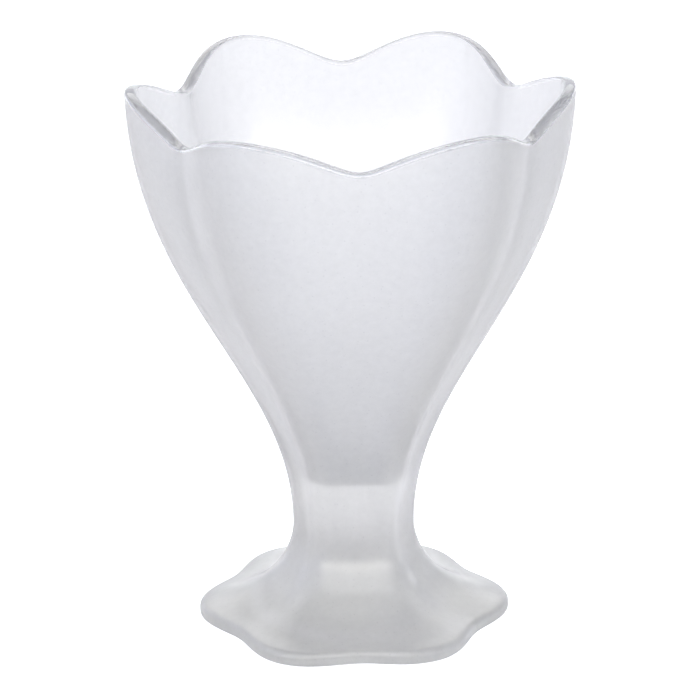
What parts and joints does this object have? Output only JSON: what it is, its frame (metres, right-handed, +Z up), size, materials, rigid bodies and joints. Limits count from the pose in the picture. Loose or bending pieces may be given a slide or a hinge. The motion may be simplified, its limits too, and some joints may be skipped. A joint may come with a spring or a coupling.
{
  "type": "parfait glass",
  "caption": "Footed parfait glass of frosted pressed glass, with a petal-shaped bowl, a clear wavy lip, a short solid stem and a petal foot.",
  "frame": {"origin": "middle of the underside of the foot, on the table", "axes": "+Z up along the glass's axis, two opposite petals on the X axis"},
  "size_m": [0.0954, 0.0876, 0.12],
  "materials": {
    "frosted_glass": "satin frosted outside, smooth inside",
    "clear_glass": "clear, fire-polished"
  },
  "bodies": {
    "root": {"rim": "clear_glass", "bowl": "frosted_glass", "stem": "frosted_glass", "foot": "frosted_glass"}
  },
  "joints": []
}
